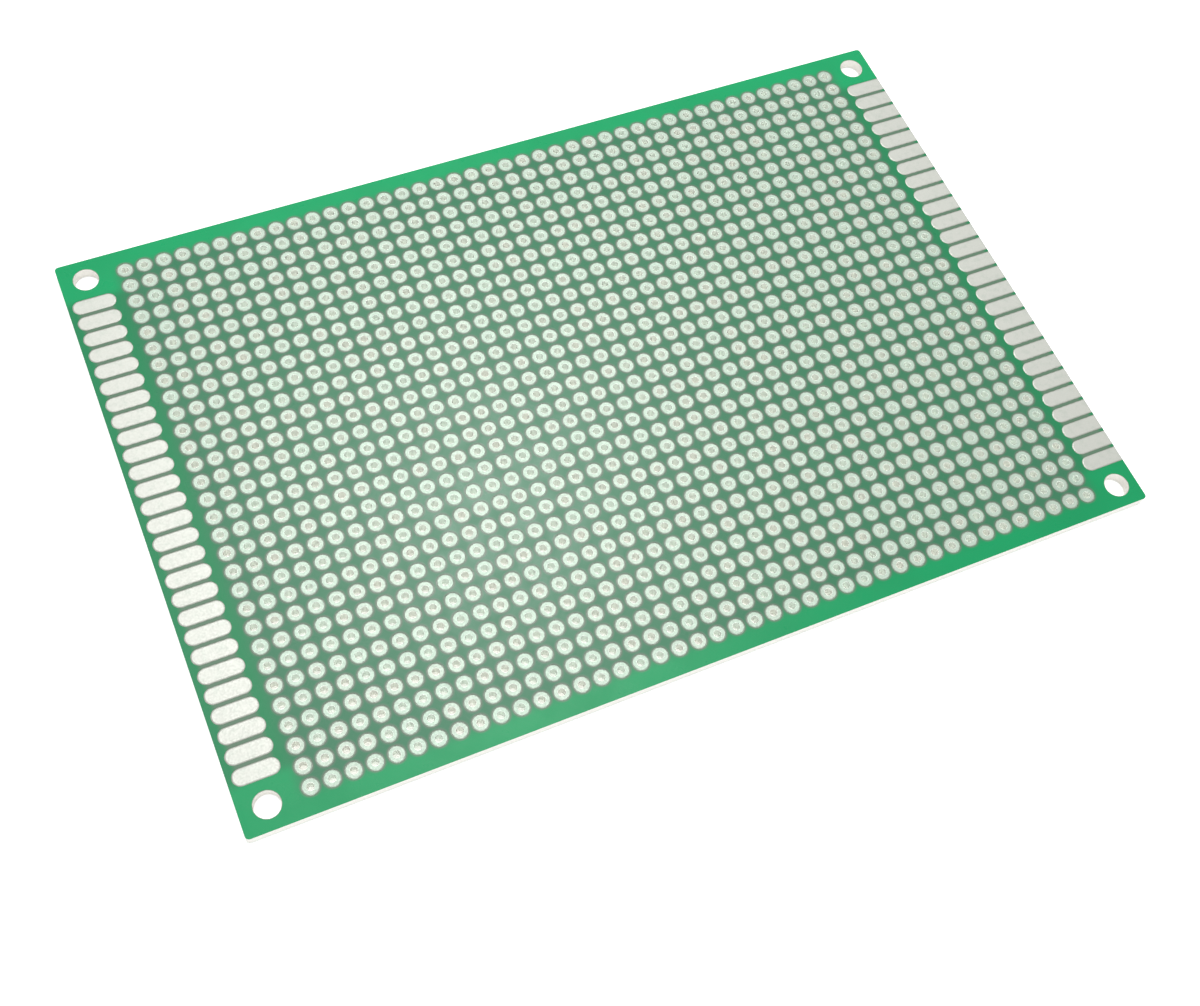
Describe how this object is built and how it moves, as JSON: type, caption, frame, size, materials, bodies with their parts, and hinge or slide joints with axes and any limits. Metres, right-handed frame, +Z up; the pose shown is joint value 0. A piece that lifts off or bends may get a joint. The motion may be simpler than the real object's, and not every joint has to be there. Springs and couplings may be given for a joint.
{
  "type": "prototype board",
  "caption": "Flat green double-sided prototype board with a grid of tin-plated lead holes, edge pads along both short sides and a mounting hole in each corner.",
  "frame": {"origin": "centre of the rectangle that the board covers, on the plane of the underside pads", "axes": "+X along the long side towards the edge pads that reach the edge, +Y across the board, +Z up out of the top face"},
  "size_m": [0.12, 0.08, 0.0016],
  "materials": {
    "coated_laminate": "glossy green solder mask on both faces, pale cut laminate at the edges",
    "tin": "satin tin plating, nearly white, slightly uneven"
  },
  "bodies": {
    "root": {"substrate": "coated_laminate", "plated_holes_row_01": "tin", "plated_holes_row_02": "tin", "plated_holes_row_03": "tin", "plated_holes_row_04": "tin", "plated_holes_row_05": "tin", "plated_holes_row_06": "tin", "plated_holes_row_07": "tin", "plated_holes_row_08": "tin", "plated_holes_row_09": "tin", "plated_holes_row_10": "tin", "plated_holes_row_11": "tin", "plated_holes_row_12": "tin", "plated_holes_row_13": "tin", "plated_holes_row_14": "tin", "plated_holes_row_15": "tin", "plated_holes_row_16": "tin", "plated_holes_row_17": "tin", "plated_holes_row_18": "tin", "plated_holes_row_19": "tin", "plated_holes_row_20": "tin", "plated_holes_row_21": "tin", "plated_holes_row_22": "tin", "plated_holes_row_23": "tin", "plated_holes_row_24": "tin", "plated_holes_row_25": "tin", "plated_holes_row_26": "tin", "plated_holes_row_27": "tin", "plated_holes_row_28": "tin", "plated_holes_row_29": "tin", "plated_holes_row_30": "tin", "edge_pads_left_top": "tin", "edge_pads_right_top": "tin", "edge_pads_left_underside": "tin", "edge_pads_right_underside": "tin"}
  },
  "joints": []
}
